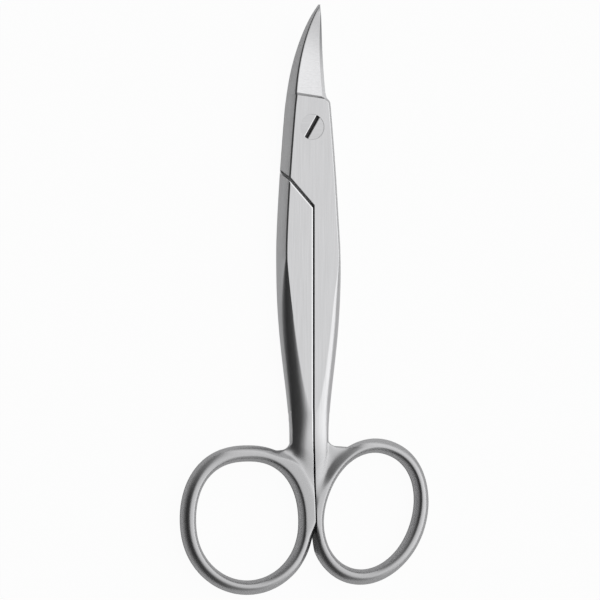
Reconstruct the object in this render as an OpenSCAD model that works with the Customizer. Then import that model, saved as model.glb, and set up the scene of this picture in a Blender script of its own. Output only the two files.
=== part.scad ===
/* [Halves] */
// Thickness of the closed scissors at the pivot plate, both halves together
plate_t = 3.9; // [3.6:0.1:4.4]
// Width of the pivot plate at its upper end, where the blades start
heel_w = 8.6; // [8.2:0.1:9]
// Greatest width of the two shanks together
belly_w = 12.3; // [11.6:0.1:13]
// Width of the two shanks together at the neck above the rings
neck_w = 7.3; // [6.8:0.1:7.8]
// Distance from the pivot down to the widest place
belly_drop = 22; // [20:0.5:24]
// Distance from the pivot down to the neck on the finger ring's side
neck_drop = 55.2; // [54.8:0.1:55.6]
// Radius of the crotch between a shank and its ring
crotch_r = 1.8; // [1.6:0.1:2]
// Height of the narrow side facet that is left along the lower shank
rim_h = 0.66; // [0.6:0.02:0.8]

/* [Blades] */
// Distance from the pivot to the tips
blade_len = 21.8; // [20:0.2:24]
// Distance from the pivot up to the step where the ground blade face starts
step_rise = 5.6; // [5.4:0.1:5.8]
// Half width of a blade, from the blades' axis to its spine, where it starts
spine_w = 3.84; // [3.7:0.02:3.9]
// Rise of the tips above the plane of the pivot
tip_rise = 5; // [3.5:0.1:6]
// Thickness of a blade's spine at its tip
tip_t = 0.5; // [0.4:0.01:0.7]
// Thickness of the land along a cutting edge
edge_t = 0.3; // [0.2:0.01:0.4]
// How far a spine stands out past the other blade's cutting edge
spine_proud = 0.75; // [0.5:0.05:0.9]

/* [Rings] */
// Thickness of a finger ring
ring_t = 3.1; // [2.9:0.05:3.3]
// Width of a ring's bar
bar_w = 2.58; // [2.44:0.02:2.7]
// Radius of the rounding on the outer side of a ring's bar
bar_round = 1.1; // [0.9:0.05:1.2]
// Length of the thumb ring's hole, along the scissors
thumb_hole_l = 21.2; // [20.8:0.1:21.8]
// Width of the thumb ring's hole
thumb_hole_w = 19.5; // [19.1:0.1:19.8]
// Length of the finger ring's leaning oval hole
finger_hole_l = 21.3; // [20.8:0.1:21.8]
// Width of the finger ring's leaning oval hole
finger_hole_w = 16.4; // [16:0.1:16.8]
// Lean of the finger ring's oval, away from the closing line
finger_lean = 21; // [15:1:27]

/* [Pivot] */
// Diameter of the screw's head
head_d = 4.5; // [4.2:0.1:4.8]
// Height of the screw's head
head_h = 0.9; // [0.8:0.05:1]
// Diameter of the screw below its head
screw_d = 3; // [2.6:0.1:3.2]
// Width of the screwdriver slot
slot_w = 0.54; // [0.4:0.02:0.7]
// Depth of the screwdriver slot
slot_depth = 0.5; // [0.35:0.05:0.6]
// Direction of the screwdriver slot, turned from straight across
slot_angle = 59.5; // [0:1:90]

/* [Clearances] */
// Running gap between the lapped faces of the two halves
lap_gap = 0.08; // [0.06:0.01:0.12]
// Radial running clearance of the screw in the front half
pivot_clear = 0.03; // [0.02:0.005:0.06]
// Radial gap between the screw and the back half that holds it
thread_clear = 0.01; // [0.01:0.005:0.02]
// Gap between the shanks when the scissors are closed
shank_gap = 0.26; // [0.2:0.01:0.36]
// Width of the groove at the slanting shoulders when closed
groove_w = 0.5; // [0.4:0.05:0.6]

/* [Hidden] */
steel = "#c3c5c7";
dark_steel = "#9fa2a5";

// Overrun of the cutting shapes past what they cut
over = 1.5;
// Sides of the drawn circles
$fn = 96;

// Half thickness, and the half widths that the plan follows
half_t = plate_t / 2;
heel_half = heel_w / 2;
belly_half = belly_w / 2;
neck_half = neck_w / 2;
// Sideways run of the side facet for each unit of its height
facet_run_share = 0.66;
// The same for the steeper front of a shank's outer side, which ends below the belly
steep_run_share = 0.39;
steep_len = 9;
// Part of the plate's height that its side facet takes, the rest is the edge's rounding
facet_share = 0.94;
// Width of that rounding, and the metal that is ground off to make the flat faces
edge_round = 0.075;
ground_off = 0.03;
// How sharply the plate widens towards the belly, and the shanks narrow to the neck
widen_share = 1.4;
narrow_share = 1.4;
// Bulge of the rounding between the side facet and the flat face
bulge_share = 0.17;
// The flat face narrows from just below the belly to a point above the neck
flat_delay = 1.8;
flat_lead = 3.9;
flat_start = belly_drop + flat_delay;
flat_end = neck_drop - flat_lead;
flat_ease_share = 1.15;
flat_taper_share = 0.64;
// Half width of the flat that is left below that point, and its place right of the closing line
flat_least = 0.15;
crest_shift = 0.25;
// The side facet drops from the plate's height to the rim, most of it in the first third
rim_delay = 1.4;
rim_start = belly_drop + rim_delay;
rim_len_share = 0.42;
rim_len = rim_len_share * (neck_drop - belly_drop);
// The shanks get thinner from here down to the crotch, and their closing line leans
taper_lead = 5;
taper_start = neck_drop - taper_lead;
crotch_half_t = 1.62;

// Distance of the closing line from the pivot's axis, and its lean lower down
close_x = 0.27;
lean_share = 0.0327;
// Corner where the closing line meets the slanting shoulders
shoulder_drop = 13.9;
// Rise of a shoulder for each unit of its run
shoulder_rise_share = 1.09;

// Start of the blades below the step, and of the hidden root that ties them to the plate
blade_overlap = 1;
root_len = 1.4;
blade_start = step_rise - blade_overlap;
root_start = blade_start - root_len;
// Blade outline: its position runs from 0 at its start to 1 at the tip
outline_power_share = 1.2;
outline_root_share = 0.68;
thin_power_share = 1.25;
station_power_share = 1.5;
// The blades' common axis lies left of the pivot at the step and right of it at the tip
heel_offset = -0.48;
tip_offset = 0.2;
// The lapped faces are flat within this radius, and curve forward beyond it
flat_r = 5.5;
bend_run = blade_len - flat_r;
bend_r = (bend_run * bend_run + tip_rise * tip_rise) / (2 * tip_rise);
// Length over which the step falls from the plate to the blade, its slant, and its corner
step_len = 0.28;
step_slant_share = 0.14;
corner_r = 1.1;

// Centres of the two ring holes: from the pivot's axis to a hole, and from the neck down to it
thumb_side = 1.95;
finger_side = 3.26;
thumb_below = 4.55;
finger_below = 2.7;
thumb_x = thumb_hole_w / 2 + thumb_side;
thumb_drop = neck_drop + thumb_hole_l / 2 + thumb_below;
finger_x = finger_hole_w / 2 + finger_side;
finger_drop = neck_drop + finger_hole_l / 2 + finger_below;
// The thumb ring's neck lies lower than the finger ring's
neck_step = 0.7;
// Squareness of the rings' ovals at the top and bottom, where 2 is a plain oval
thumb_square_shares = [2.35, 2.03];
finger_square_shares = [2.12, 2.02];
// Extra width of a bar at the left and right of its ring
bar_side_extra = 0.15;
// Extra width of each ring's bar on its widest side, and the direction of that side
thumb_bar_extra = 0.45;
thumb_wide_angle = 100;
finger_bar_extra = 0.2;
finger_wide_angle = -115;
// Each bar widens where it runs along the closing line, between these directions
thumb_flare = 1.2;
thumb_flare_angles = [112, 194];
finger_flare = 0.6;
finger_flare_angles = [140, 206];
flare_turn = 24;
// Half of the arc that a bar's inner wall is bent to, from its edge to its middle
wall_angle = 60;
// The low web in the crotch: its widening beyond it, the height of that, and its half thickness
web_step = 4.1;
web_len = 0.3;
web_half_t = 0.6;
web_w = neck_half + crotch_r + web_step;
// The shanks' tails run out into the rings: their start and end, half width and half thickness
tail_lead = 3.8;
tail_len = 7.5;
tail_start = neck_drop + tail_lead;
tail_drop = tail_start + tail_len;
tail_w = 1;
tail_half_t = 1.48;
tail_taper_share = 1.3;
// The right side of the closed scissors is narrower at the plate and wider at the neck
plate_trim = 0.25;
trim_lead = 8;
trim_delay = 6;
trim_start = belly_drop - trim_lead;
trim_end = belly_drop + trim_delay;
neck_trim = -0.18;
// Reach of the cuts beyond the widest place of a half, and down to below the rings
cut_reach = max(belly_half, web_w) + over;
cut_drop = thumb_drop + thumb_hole_l / 2 + bar_w + over;

// Steps along and around the shaped surfaces
blade_steps = 12;
plate_steps = 8;
shank_steps = 22;
crotch_steps = 5;
web_steps = 4;
tail_steps = 6;
arc_steps = 4;
face_steps = 4;
ring_steps = 60;
corner_steps = 4;
wall_steps = 6;

function mix(a, b, t) = a + (b - a) * t;
function clamp01(t) = max(0, min(1, t));
function ease(t) = t * t * (3 - 2 * t);
function far(p) = sqrt(p[0] * p[0] + p[1] * p[1]);

// Height of the lapped faces at a distance from the pivot
function bend(r) = r <= flat_r ? 0 : bend_r - sqrt(bend_r * bend_r - pow(r - flat_r, 2));

// In what follows, side is 1 for the front half and -1 for the back half. Each half is drawn
// with its lap in front, its spine at the left and its shank at the right, and the back half
// is then turned round.
function neck_at(side) = neck_drop + (side > 0 ? 0 : neck_step);
function crotch_at(side) = neck_at(side) + crotch_r;

// Half width of the body at a height y
function above_belly(y) =
    let (t = clamp01((step_rise - y) / (step_rise + belly_drop)))
    belly_half - (belly_half - heel_half) * pow(1 - t, widen_share);
function below_belly(y, side) =
    let (t = clamp01((-belly_drop - y) / (neck_at(side) - belly_drop)))
    mix(belly_half, neck_half, ease(pow(t, narrow_share)));
function crotch_flare(y, side) =
    let (t = clamp01((-neck_at(side) - y) / crotch_r))
    crotch_r * (1 - sqrt(1 - t * t));
function tail_at(y, side) = clamp01((-crotch_at(side) - y) / (tail_drop - crotch_at(side)));
function tail_half(y) =
    mix(neck_half, tail_w, pow(clamp01((-tail_start - y) / tail_len), tail_taper_share));
function web_half(y, side) =
    let (low = -crotch_at(side))
    y >= low
    ? neck_half - edge_round + crotch_flare(y, side)
    : min(
        mix(neck_half + crotch_r - edge_round, web_w, (low - y) / web_len),
        mix(web_w, tail_w, (low - web_len - y) / (tail_drop + low - web_len))
    );
function right_trim(y) =
    mix(plate_trim, 0, ease(clamp01((-trim_start - y) / (trim_end - trim_start))))
    + neck_trim * ease(clamp01((-trim_end - y) / (neck_drop - trim_end)));
function half_w(y, side) =
    y >= -belly_drop
    ? above_belly(y)
    : y >= -neck_at(side)
    ? below_belly(y, side)
    : tail_half(y);

// The plate's two upper corners: the left one runs into the spine, the right one is rounded
function spine_corner(y, side) =
    let (t = clamp01((y - step_rise + 2 * corner_r) / (2 * corner_r)))
    (heel_half - spine_w + side * heel_offset - (side > 0 ? 0 : plate_trim)) * ease(t);
function edge_corner(y) =
    let (t = clamp01((y - step_rise + corner_r) / corner_r))
    corner_r * (1 - sqrt(1 - t * t));

// Half thickness, side facet and half width of the flat face at a height y
function half_t_at(y, side) =
    y >= -crotch_at(side)
    ? mix(
        half_t + ground_off,
        crotch_half_t,
        ease(clamp01((-taper_start - y) / (crotch_at(side) - taper_start)))
    )
    : mix(crotch_half_t, tail_half_t, ease(tail_at(y, side)));
function facet_h(y) =
    mix(half_t * facet_share, rim_h, 1 - pow(1 - clamp01((-rim_start - y) / rim_len), 3));
function steep_at(y) =
    mix(steep_run_share, facet_run_share, ease(clamp01((-flat_start - y) / steep_len)));
function taper_at(y) = clamp01((-flat_start - y) / (flat_end - flat_start));
function flat_half(y, side, run) =
    let (wide = half_w(max(y, -flat_start), side) - run * half_t - edge_round)
    max(flat_least, wide * pow(1 - pow(taper_at(y), flat_ease_share), flat_taper_share));

// Place of the closing line, and of a half's own closing edge
function close_at(y) = close_x + lean_share * max(0, -taper_start - y);
function edge_x(y, side) = side * close_at(y) + shank_gap / 2;

// Curved run from point a to point b that bulges to its left, its last point left out
function bulged(a, b, bulge) =
    let (side = [a[1] - b[1], b[0] - a[0]], peak = (a + b) / 2 + bulge * side)
    [for (i = [0 : arc_steps - 1])
        let (t = i / arc_steps) (1 - t) * (1 - t) * a + 2 * t * (1 - t) * peak + t * t * b];

// Side of a cross section from its rim at half width w to the flat face
function body_side(w, flat, facet, top, run) =
    concat(
        [[w, 0]],
        [for (p = bulged([-w + run * facet, facet], [-flat, top], bulge_share)) [-p[0], p[1]]]
    );

// Front of a cross section from rim to rim, its right side facet with a run of its own
function body_front(y, side, run) =
    let (
        w = half_w(y, side),
        flat_left = flat_half(y, side, facet_run_share),
        flat_right = flat_half(y, side, run),
        facet = facet_h(y),
        top = half_t_at(y, side),
        lean = side * (close_at(y) - close_x),
        shift = lean * tail_at(y, side),
        mid = lean - shift + side * crest_shift * taper_at(y),
        in_left = shift + spine_corner(y, side) + (side > 0 ? 0 : right_trim(y)),
        in_right = edge_corner(y) - shift + (side > 0 ? right_trim(y) : 0),
        left = body_side(w, flat_left - mid, facet, top, facet_run_share),
        right = body_side(w, flat_right + mid, facet, top, run)
    )
    concat(
        [for (p = left) [in_left - p[0], p[1]]],
        [for (i = [0 : face_steps])
            [mix(mid - flat_left + in_left, mid + flat_right - in_right, i / face_steps), top]],
        [for (i = [len(right) - 1 : -1 : 0]) [right[i][0] - in_right, right[i][1]]]
    );

// Cross section of the body, clockwise from its left rim
function body_section(y, side) =
    let (
        front = body_front(y, side, steep_at(y)),
        back = body_front(y, side, facet_run_share)
    )
    concat(front, [for (i = [len(back) - 2 : -1 : 1]) [back[i][0], -back[i][1]]]);

// Cross section of the low web, clockwise from its left edge
function web_section(y, side) =
    let (
        w = web_half(y, side),
        shift = side * (close_at(y) - close_x) * tail_at(y, side),
        upper = [
            [-w, 0],
            [-w + facet_run_share * rim_h / 2, web_half_t / 2],
            [-w + facet_run_share * rim_h, web_half_t],
            [w - facet_run_share * rim_h, web_half_t],
            [w - facet_run_share * rim_h / 2, web_half_t / 2],
            [w, 0]
        ]
    )
    [for (p = concat(upper, [for (i = [4 : -1 : 1]) [upper[i][0], -upper[i][1]]]))
        [p[0] + shift, y, p[1]]];

// The same cross section in space: near the step it is sheared along the step's slant
function body_ring(y, side) =
    let (t = clamp01((y - step_rise + 2 * corner_r) / (2 * corner_r)))
    [for (p = body_section(y, side))
        [p[0], y + t * (step_len * (1 - p[1] / half_t) - step_slant_share * p[0]), p[1]]];

// Blade sizes at a position t
function spine_at(t) = spine_w * pow(1 - pow(t, outline_power_share), outline_root_share);
function axis_at(t) = mix(heel_offset, tip_offset, t * t);
function spine_t_at(t) = mix(half_t - ground_off, tip_t, pow(t, thin_power_share));

// Cross section of a blade's blank in space, clockwise from its spine, at a position t
function blade_ring(t, y, side, inset) =
    let (
        axis = side * axis_at(t),
        spine = max(spine_at(t) - inset, tip_t / 3),
        edge = max(spine - spine_proud * (1 - t * t * t), tip_t / 4),
        high = spine_t_at(t) - inset,
        run = min(facet_run_share * high, (spine + edge) / 2),
        crest = [axis - spine + run, high],
        land = [axis + edge, edge_t * mix(1, tip_t, t)],
        upper = concat(
            [[axis - spine, 0]],
            [[axis - spine + run * facet_share, high * facet_share]],
            [for (i = [0 : face_steps]) mix(crest, land, i / face_steps)],
            [[axis + edge, 0]]
        )
    )
    concat(
        [for (p = upper) [p[0], y, p[1] + side * bend(far([p[0], y]))]],
        [for (i = [len(upper) - 2 : -1 : 0]) [upper[i][0], y, side * bend(far([upper[i][0], y])) - over]]
    );

// Inner radius of a ring's oval in a direction
function oval(a, length, width, lean, squares) =
    let (
        along = cos(a - 90 + lean),
        across = sin(a - 90 + lean),
        square = mix(squares[1], squares[0], (1 + sin(a)) / 2)
    )
    pow(
        pow(abs(along) / (length / 2), square) + pow(abs(across) / (width / 2), square),
        -1 / square
    );

// Growth of a bar's width where it runs along the closing line
function flared(a, angles) =
    ease(clamp01((a - angles[0]) / flare_turn)) * ease(clamp01((angles[1] - a) / flare_turn));

// Cross section of a ring's bar between two radii: its inner wall is an arc from face to face
function bar_section(inner, outer) =
    let (top = ring_t / 2, bow = top / sin(wall_angle))
    concat(
        [for (i = [0 : corner_steps])
            let (a = 90 * i / corner_steps)
            [outer - bar_round * (1 - cos(a)), top - bar_round * (1 - sin(a))]],
        [for (i = [0 : wall_steps])
            let (a = wall_angle * (1 - 2 * i / wall_steps))
            [inner + bow * (1 - cos(a)), bow * sin(a)]],
        [for (i = [0 : corner_steps])
            let (a = 90 * (i / corner_steps - 1))
            [outer - bar_round * (1 - cos(a)), bar_round * (1 + sin(a)) - top]]
    );

// Solid skin over a row of cross sections, closed by its two end faces
module loft(rows) {
    n = len(rows[0]);
    m = len(rows);
    polyhedron(
        points = [for (row = rows) each row],
        faces = concat(
            [[for (i = [0 : n - 1]) n - 1 - i]],
            [[for (i = [0 : n - 1]) (m - 1) * n + i]],
            [for (j = [0 : m - 2], i = [0 : n - 1]) [j * n + i, j * n + (i + 1) % n, (j + 1) * n + i]],
            [for (j = [0 : m - 2], i = [0 : n - 1])
                [j * n + (i + 1) % n, (j + 1) * n + (i + 1) % n, (j + 1) * n + i]]
        )
    );
}

// Solid skin over a closed loop of cross sections
module hoop(rows) {
    n = len(rows[0]);
    m = len(rows);
    polyhedron(
        points = [for (row = rows) each row],
        faces = concat(
            [for (j = [0 : m - 1], i = [0 : n - 1])
                [j * n + i, j * n + (i + 1) % n, ((j + 1) % m) * n + i]],
            [for (j = [0 : m - 1], i = [0 : n - 1])
                [j * n + (i + 1) % n, ((j + 1) % m) * n + (i + 1) % n, ((j + 1) % m) * n + i]]
        )
    );
}

// Both shanks and the plate in one piece, before the halves are cut from it
module body_blank(side) {
    plate_top = [for (i = [0 : plate_steps])
        step_rise - 2 * corner_r * pow(i / plate_steps, station_power_share)];
    plate_low = plate_top[plate_steps];
    shank = [for (i = [1 : shank_steps]) mix(plate_low, -crotch_at(side), i / shank_steps)];
    tail = [for (i = [1 : tail_steps]) mix(-crotch_at(side), -tail_drop, i / tail_steps)];
    loft([for (y = concat(plate_top, shank, tail)) body_ring(y, side)]);
}

// The low web that rounds the crotch between a shank and its ring
module web(side) {
    crotch = [for (i = [0 : crotch_steps]) -neck_at(side) - crotch_r * sin(90 * i / crotch_steps)];
    low = [for (i = [0 : web_steps]) mix(-crotch_at(side) - web_len, -tail_drop, i / web_steps)];
    loft([for (y = concat(crotch, low)) web_section(y, side)]);
}

// The two faces are ground flat
module ground_body(side) {
    width = 2 * cut_reach;
    length = tail_drop + step_rise + 2 * over;
    difference() {
        body_blank(side);
        for (flip = [0, 1])
            mirror([0, 0, flip])
                translate([-width / 2, -tail_drop - over, half_t])
                    cube([width, length, over]);
    }
}

// Plan of what belongs to the other half: beyond the closing line and below the shoulder
module other_half_plan(side) {
    corner = edge_x(0, side);
    lift = groove_w / 2 * sqrt(1 + pow(shoulder_rise_share, 2));
    polygon([
        [corner, -shoulder_drop - corner * shoulder_rise_share + lift],
        [corner, -taper_start],
        [edge_x(-cut_drop, side), -cut_drop],
        [-cut_reach, -cut_drop],
        [-cut_reach, -shoulder_drop + cut_reach * shoulder_rise_share + lift]
    ]);
}

// Plan of the lap, where the other half lies behind this one
module lap_plan(side) {
    lift = groove_w / 2 * sqrt(1 + pow(shoulder_rise_share, 2));
    low = -shoulder_drop - lift - over;
    polygon([
        [-cut_reach, 0],
        [-cut_reach, low],
        [edge_x(0, side), low],
        [edge_x(0, side), -shoulder_drop - lift + edge_x(0, side) * shoulder_rise_share],
        [cut_reach, -shoulder_drop - lift + cut_reach * shoulder_rise_share],
        [cut_reach, 0]
    ]);
}

// Everything behind the lapped face of the blades, a surface turned about the pivot
module behind_blades(side) {
    depth = plate_t + tip_rise + over;
    reach = blade_len + over;
    intersection() {
        rotate_extrude() {
            translate([0, -depth])
                square([flat_r, depth + lap_gap / 2]);
            if (side > 0) {
                difference() {
                    translate([flat_r, -depth])
                        square([reach - flat_r, depth + tip_rise + over]);
                    translate([flat_r, bend_r + lap_gap / 2])
                        circle(r = bend_r);
                }
            } else {
                intersection() {
                    translate([flat_r, -depth])
                        square([reach - flat_r, depth + over]);
                    translate([flat_r, lap_gap / 2 - bend_r])
                        circle(r = bend_r);
                }
            }
        }
        translate([-reach, 0, -depth])
            cube([2 * reach, reach, 2 * depth]);
    }
}

module blade_blank(side) {
    loft(concat(
        [for (i = [0 : blade_steps])
            let (t = 1 - pow(i / blade_steps, station_power_share))
            blade_ring(t, mix(blade_start, blade_len, t), side, 0)],
        [blade_ring(0, root_start, side, spine_proud)]
    ));
}

// One ring, drawn around the place of its hole
module ring(side) {
    centre = side > 0 ? [finger_x, -finger_drop] : [thumb_x, -thumb_drop];
    length = side > 0 ? finger_hole_l : thumb_hole_l;
    width = side > 0 ? finger_hole_w : thumb_hole_w;
    lean = side > 0 ? finger_lean : 0;
    squares = side > 0 ? finger_square_shares : thumb_square_shares;
    extra = side > 0 ? finger_bar_extra : thumb_bar_extra;
    wide_angle = side > 0 ? finger_wide_angle : thumb_wide_angle;
    flare = side > 0 ? finger_flare : thumb_flare;
    flare_angles = side > 0 ? finger_flare_angles : thumb_flare_angles;
    hoop([for (k = [0 : ring_steps - 1])
        let (
            a = 360 * k / ring_steps,
            inner = oval(a, length, width, lean, squares),
            widened = extra * (1 + cos(a - wide_angle)) / 2 + bar_side_extra * pow(cos(a), 2),
            outer = inner + bar_w + widened + flare * flared(a, flare_angles)
        )
        [for (p = bar_section(inner, outer))
            [centre[0] + p[0] * cos(a), centre[1] + p[0] * sin(a), p[1]]]]);
}

// One half, without its pivot hole
module half(side) {
    difference() {
        union() {
            ground_body(side);
            blade_blank(side);
            web(side);
            ring(side);
        }
        translate([0, 0, -half_t - over])
            linear_extrude(height = plate_t + 2 * over)
                other_half_plan(side);
        translate([0, 0, -half_t - over])
            linear_extrude(height = half_t + over + lap_gap / 2)
                lap_plan(side);
        behind_blades(side);
    }
}

// The half with the finger ring, whose lap and blade lie in front
module front_half() {
    color(steel)
        translate([0, 0, half_t])
            difference() {
                half(1);
                cylinder(d = screw_d + 2 * pivot_clear, h = plate_t);
                translate([0, 0, half_t - head_h - pivot_clear])
                    cylinder(d = head_d + 2 * pivot_clear, h = head_h + over);
            }
}

// The half with the thumb ring, whose lap and blade lie behind
module back_half() {
    color(steel)
        translate([0, 0, half_t])
            rotate([0, 180, 0])
                difference() {
                    half(-1);
                    cylinder(d = screw_d + 2 * thread_clear, h = plate_t);
                }
}

module pivot_screw() {
    color(dark_steel)
        translate([0, 0, half_t])
            difference() {
                union() {
                    translate([0, 0, half_t - head_h])
                        cylinder(d = head_d, h = head_h - edge_round);
                    translate([0, 0, -half_t])
                        cylinder(d = screw_d, h = plate_t - head_h / 2);
                }
                rotate([0, 0, slot_angle])
                    translate([-head_d, -slot_w / 2, half_t - edge_round - slot_depth])
                        cube([2 * head_d, slot_w, slot_depth + over]);
            }
}

front_half();
back_half();
pivot_screw();
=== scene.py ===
"""Curved nail scissors in satin stainless steel, closed and lying on their back.

Both halves are cut from one forged blank, as the real ones are: the blank is a skin over
cross sections, the rings are a bar swept along an oval, and the lapped faces of the blades
are turned about the pivot, so that they clear each other at every angle.
"""

import math

import bmesh
import bpy
import numpy as np
from bpy.props import FloatProperty, FloatVectorProperty, PointerProperty
from mathutils import Matrix, Vector
from mathutils.bvhtree import BVHTree


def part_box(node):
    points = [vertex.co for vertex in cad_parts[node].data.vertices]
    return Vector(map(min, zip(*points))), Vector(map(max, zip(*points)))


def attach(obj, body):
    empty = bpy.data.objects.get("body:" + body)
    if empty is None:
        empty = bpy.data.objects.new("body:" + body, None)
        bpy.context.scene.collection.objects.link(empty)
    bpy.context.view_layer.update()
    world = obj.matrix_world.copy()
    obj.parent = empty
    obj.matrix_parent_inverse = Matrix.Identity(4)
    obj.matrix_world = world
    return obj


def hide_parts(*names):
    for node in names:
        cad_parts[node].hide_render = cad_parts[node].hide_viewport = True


bl_info = {
    "name": "Curved nail scissors",
    "version": (1, 0, 0),
    "blender": (4, 5, 0),
    "location": "View3D > Sidebar > Scissors",
    "description": "Builds a pair of curved nail scissors around its packed frame",
    "category": "Mesh",
}

MM = 0.001

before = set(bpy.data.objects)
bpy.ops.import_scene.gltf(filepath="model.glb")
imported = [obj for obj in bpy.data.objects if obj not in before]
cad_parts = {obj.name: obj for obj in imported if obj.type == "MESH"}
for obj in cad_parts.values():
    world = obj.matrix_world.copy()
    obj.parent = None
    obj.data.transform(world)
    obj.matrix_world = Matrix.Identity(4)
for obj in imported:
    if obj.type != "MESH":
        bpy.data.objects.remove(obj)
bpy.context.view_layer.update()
SCREW_LOW, SCREW_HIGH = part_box("pivot_screw")


# Settings


def length(name, text, value):
    return FloatProperty(
        name=name, description=text, default=value, min=0.0, unit="LENGTH", precision=5
    )


def fraction(name, text, value):
    return FloatProperty(name=name, description=text, default=value, min=0.0, max=1.0)


class ScissorSizes(bpy.types.PropertyGroup):
    """Sizes of the scissors, in metres, with the pivot's axis as the origin"""

    plate_t: length("Plate thickness", "Both halves together, at the pivot", 3.9 * MM)
    heel_w: length("Heel width", "Width of the plate where the blades start", 8.6 * MM)
    belly_w: length("Belly width", "Greatest width of the two shanks", 12.3 * MM)
    neck_w: length("Neck width", "Width of the shanks above the rings", 7.3 * MM)
    belly_drop: length("Belly drop", "From the pivot down to the widest place", 22 * MM)
    neck_drop: length("Neck drop", "From the pivot down to the neck", 55.2 * MM)
    crotch_r: length("Crotch radius", "Rounding between a shank and its ring", 1.8 * MM)
    rim_h: length("Rim height", "Height of the side facet along the lower shank", 0.66 * MM)
    blade_len: length("Blade length", "From the pivot to the tips", 21.8 * MM)
    step_rise: length("Step rise", "From the pivot up to the ground blade face", 5.6 * MM)
    spine_w: length("Spine width", "From the blades' axis to the spine", 3.84 * MM)
    tip_rise: length("Tip rise", "Rise of the tips above the pivot's plane", 5.0 * MM)
    tip_t: length("Tip thickness", "Thickness of a spine at its tip", 0.5 * MM)
    edge_t: length("Edge thickness", "Land along a cutting edge", 0.3 * MM)
    spine_proud: length("Spine overhang", "Spine beyond the other cutting edge", 0.75 * MM)
    ring_t: length("Ring thickness", "Thickness of a finger ring", 3.1 * MM)
    bar_w: length("Bar width", "Width of a ring's bar", 2.58 * MM)
    head_d: length("Head diameter", "Diameter of the screw's head", 4.5 * MM)
    slot_w: length("Slot width", "Width of the screwdriver slot", 0.66 * MM)
    slot_depth: length("Slot depth", "Depth of the screwdriver slot", 0.5 * MM)
    lap_gap: length("Lap gap", "Gap between the lapped faces", 0.08 * MM)
    shank_gap: length("Shank gap", "Gap between the closed shanks", 0.26 * MM)
    groove_w: length("Groove width", "Groove at the slanting shoulders", 0.5 * MM)
    front_arris: length("Front arris", "Width of the front half's broken edges", 0.08 * MM)
    back_arris: length("Back arris", "Width of the back half's broken edges", 0.22 * MM)


class ScissorFinish(bpy.types.PropertyGroup):
    """Colours of the steel and of the stage"""

    steel: FloatVectorProperty(
        name="Steel", description="Satin steel of the halves", subtype="COLOR",
        size=4, min=0.0, max=1.0, default=(0.70, 0.70, 0.71, 1.0),
    )
    screw: FloatVectorProperty(
        name="Screw steel", description="Steel of the screw", subtype="COLOR",
        size=4, min=0.0, max=1.0, default=(0.66, 0.66, 0.67, 1.0),
    )
    floor: FloatVectorProperty(
        name="Floor", description="Pale floor under the scissors", subtype="COLOR",
        size=4, min=0.0, max=1.0, default=(0.92, 0.92, 0.92, 1.0),
    )
    roughness: fraction("Roughness", "Roughness of the satin steel", 0.22)


# Shape of a half
#
# A half is drawn with its lap in front, its spine at the left and its shank at the right.
# The back half is then turned round the lengthwise axis.

# Side facets of a shank: how far they run in for their height, and how steeply near the plate,
# their height as a share of the plate, their bow, and where they turn into a low rim
FACET_RUN = 0.66
STEEP_RUN = 0.5
STEEP_LEN = 9.0 * MM
FACET_SHARE = 0.89
BULGE = 0.17
EDGE_ROUND = 0.17 * MM
RIM_DELAY = 1.4 * MM
RIM_LEN_SHARE = 0.42

# Width of a shank along its length, its narrowing flat face, and the trims of its right side
WIDEN = 1.4
NARROW = 1.4
FLAT_DELAY = 1.8 * MM
FLAT_LEAD = 3.9 * MM
FLAT_EASE = 1.15
FLAT_TAPER = 0.64
FLAT_LEAST = 0.15 * MM
CREST_SHIFT = 0.25 * MM
PLATE_TRIM = 0.25 * MM
TRIM_LEAD = 8.0 * MM
TRIM_DELAY = 6.0 * MM
NECK_TRIM = -0.18 * MM
STATION_POWER = 1.5

# Closing edge and slanting shoulders, and how far their cuts reach
CLOSE_X = 0.27 * MM
LEAN = 0.0327
SHOULDER_DROP = 13.9 * MM
SHOULDER_RISE = 1.09
CUT_DROP = 86.0 * MM
OVER = 1.5 * MM

# Blades: the bow of their spine's facet, their outline and thickness, how far they stand off
# the scissors' axis, the flat place round the pivot, and their root in the plate
BLADE_SHARE = 0.8
BLADE_ROUND = 0.3 * MM
CREST_MOST = 0.2
OUTLINE_POWER = 1.2
OUTLINE_ROOT = 0.68
THIN_POWER = 1.25
HEEL_OFFSET = -0.48 * MM
TIP_OFFSET = 0.2 * MM
FLAT_R = 5.5 * MM
BLADE_OVERLAP = 1.0 * MM
ROOT_LEN = 1.4 * MM

# Step that the ground face of a blade starts at, and the groove along its foot
STEP_LEN = 0.3 * MM
STEP_SLANT = 0.125
STEP_DROP = 0.26 * MM
STEP_GROOVE = 0.46 * MM
GROOVE_SINK = 0.1 * MM
GROOVE_TOP = 3.0 * MM
CORNER_R = 1.1 * MM

# Lower end of a shank: its thickness for each half, and the low web in the crotch
TAPER_LEAD = 5.0 * MM
CROTCH_HALF_T = {1: 1.62 * MM, -1: 1.5 * MM}
NECK_STEP = 0.7 * MM
WEB_STEP = 4.1 * MM
WEB_LEN = 0.3 * MM
WEB_HALF_T = 0.6 * MM
WEB_POWER = 0.6
TAIL_LEAD = 3.8 * MM
TAIL_LEN = 7.5 * MM
TAIL_W = 1.0 * MM
TAIL_HALF_T = {1: 1.48 * MM, -1: 1.25 * MM}
TAIL_TAPER = 1.3

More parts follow.
